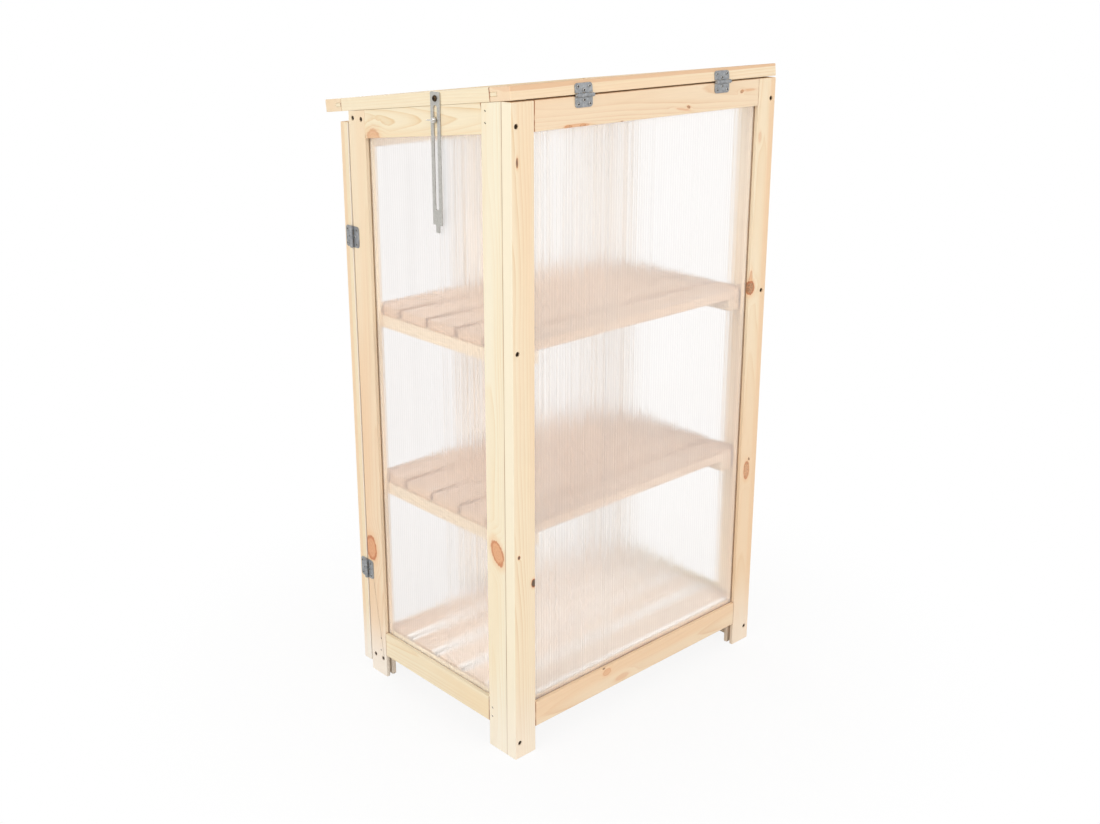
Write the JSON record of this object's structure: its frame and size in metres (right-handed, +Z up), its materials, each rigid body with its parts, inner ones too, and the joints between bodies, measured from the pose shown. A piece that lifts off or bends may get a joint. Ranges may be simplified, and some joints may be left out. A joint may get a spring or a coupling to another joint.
{
  "type": "mini greenhouse",
  "caption": "Upright wooden mini greenhouse with clear sheet walls, two front doors, a sloping lid held by a slotted stay, and slatted shelves inside.",
  "frame": {"origin": "middle of the whole outline, at ground level under the four legs", "axes": "+Z up; -Y towards the doors; +X to the right of a person who faces the doors"},
  "size_m": [0.5978, 0.4556, 1.0525],
  "materials": {
    "frame_pine": "planed softwood, clear satin",
    "shelf_pine": "planed softwood",
    "turned_wood": "smooth softwood",
    "clear_sheet": "translucent twin-wall sheet",
    "zinc_hinge": "zinc plated",
    "zinc_strip": "zinc plated",
    "bright_nut": "bright plated",
    "screw_steel": "dull plated"
  },
  "bodies": {
    "cabinet": {"back_left_stile": "frame_pine", "back_right_stile": "frame_pine", "back_top_rail": "frame_pine", "back_bottom_rail": "frame_pine", "back_sheet": "clear_sheet", "right_side_front_stile": "frame_pine", "right_side_back_stile": "frame_pine", "right_side_top_rail": "frame_pine", "right_side_bottom_rail": "frame_pine", "right_side_sheet": "clear_sheet", "left_side_front_stile": "frame_pine", "left_side_back_stile": "frame_pine", "left_side_top_rail": "frame_pine", "left_side_bottom_rail": "frame_pine", "left_side_sheet": "clear_sheet", "front_top_crossrail": "frame_pine", "front_bottom_crossrail": "frame_pine", "upper_shelf_right_cleat": "shelf_pine", "upper_shelf_left_cleat": "shelf_pine", "upper_shelf_slats": "shelf_pine", "middle_shelf_right_cleat": "shelf_pine", "middle_shelf_left_cleat": "shelf_pine", "middle_shelf_slats": "shelf_pine", "floor_right_cleat": "shelf_pine", "floor_left_cleat": "shelf_pine", "floor_slats": "shelf_pine", "lid_hinge_frame_leaves": "zinc_hinge", "right_door_hinge_frame_leaves": "zinc_hinge", "left_door_hinge_frame_leaves": "zinc_hinge", "hinge_pins": "zinc_hinge", "lid_stay_stud": "screw_steel", "cabinet_screws": "screw_steel"},
    "lid": {"lid_back_rail": "frame_pine", "lid_front_rail": "frame_pine", "lid_right_rail": "frame_pine", "lid_left_rail": "frame_pine", "lid_sheet": "clear_sheet", "lid_hinge_lid_leaves": "zinc_hinge", "lid_hinge_screws": "screw_steel", "lid_stay_pivot_screw": "screw_steel"},
    "lid_stay": {"lid_stay_arm": "zinc_strip"},
    "stay_wing_nut": {"lid_stay_wing_nut": "bright_nut"},
    "right_door": {"right_door_hinge_stile": "frame_pine", "right_door_meeting_stile": "frame_pine", "right_door_top_rail": "frame_pine", "right_door_bottom_rail": "frame_pine", "right_door_sheet": "clear_sheet", "right_door_hinge_door_leaves": "zinc_hinge", "right_door_knob": "turned_wood", "right_door_screws": "screw_steel", "turn_button_screw": "screw_steel"},
    "left_door": {"left_door_hinge_stile": "frame_pine", "left_door_meeting_stile": "frame_pine", "left_door_top_rail": "frame_pine", "left_door_bottom_rail": "frame_pine", "left_door_sheet": "clear_sheet", "left_door_hinge_door_leaves": "zinc_hinge", "left_door_knob": "turned_wood", "left_door_screws": "screw_steel"},
    "turn_button": {"door_turn_button": "turned_wood"}
  },
  "joints": [
    {"name": "lid_hinge", "type": "hinge", "parent": "cabinet", "child": "lid", "pos_m": [-0.00295, 0.22475, 1.03132], "axis": [-1, 0, 0], "range_deg": [0, 45]},
    {"name": "stay_swing", "type": "hinge", "parent": "lid", "child": "lid_stay", "pos_m": [0.28705, 0.05845, 1.02356], "axis": [-1, 0, 0], "range_deg": [-30, 0]},
    {"name": "right_door_hinge", "type": "hinge", "parent": "cabinet", "child": "right_door", "pos_m": [0.29005, -0.166, 0.4925], "axis": [0, 0, 1], "range_deg": [0, 175]},
    {"name": "left_door_hinge", "type": "hinge", "parent": "cabinet", "child": "left_door", "pos_m": [-0.29595, -0.166, 0.4925], "axis": [0, 0, -1], "range_deg": [0, 175]},
    {"name": "wing_nut_turn", "type": "hinge", "parent": "cabinet", "child": "stay_wing_nut", "pos_m": [0.28945, 0.05665, 0.99256], "axis": [1, 0, 0], "continuous": true},
    {"name": "turn_button_turn", "type": "hinge", "parent": "right_door", "child": "turn_button", "pos_m": [0.01955, -0.188, 0.5], "axis": [0, -1, 0], "range_deg": [-90, 90]}
  ],
  "couplings": [
    {"joint": "stay_swing", "follows": "lid_hinge", "ratio": -0.6453}
  ]
}
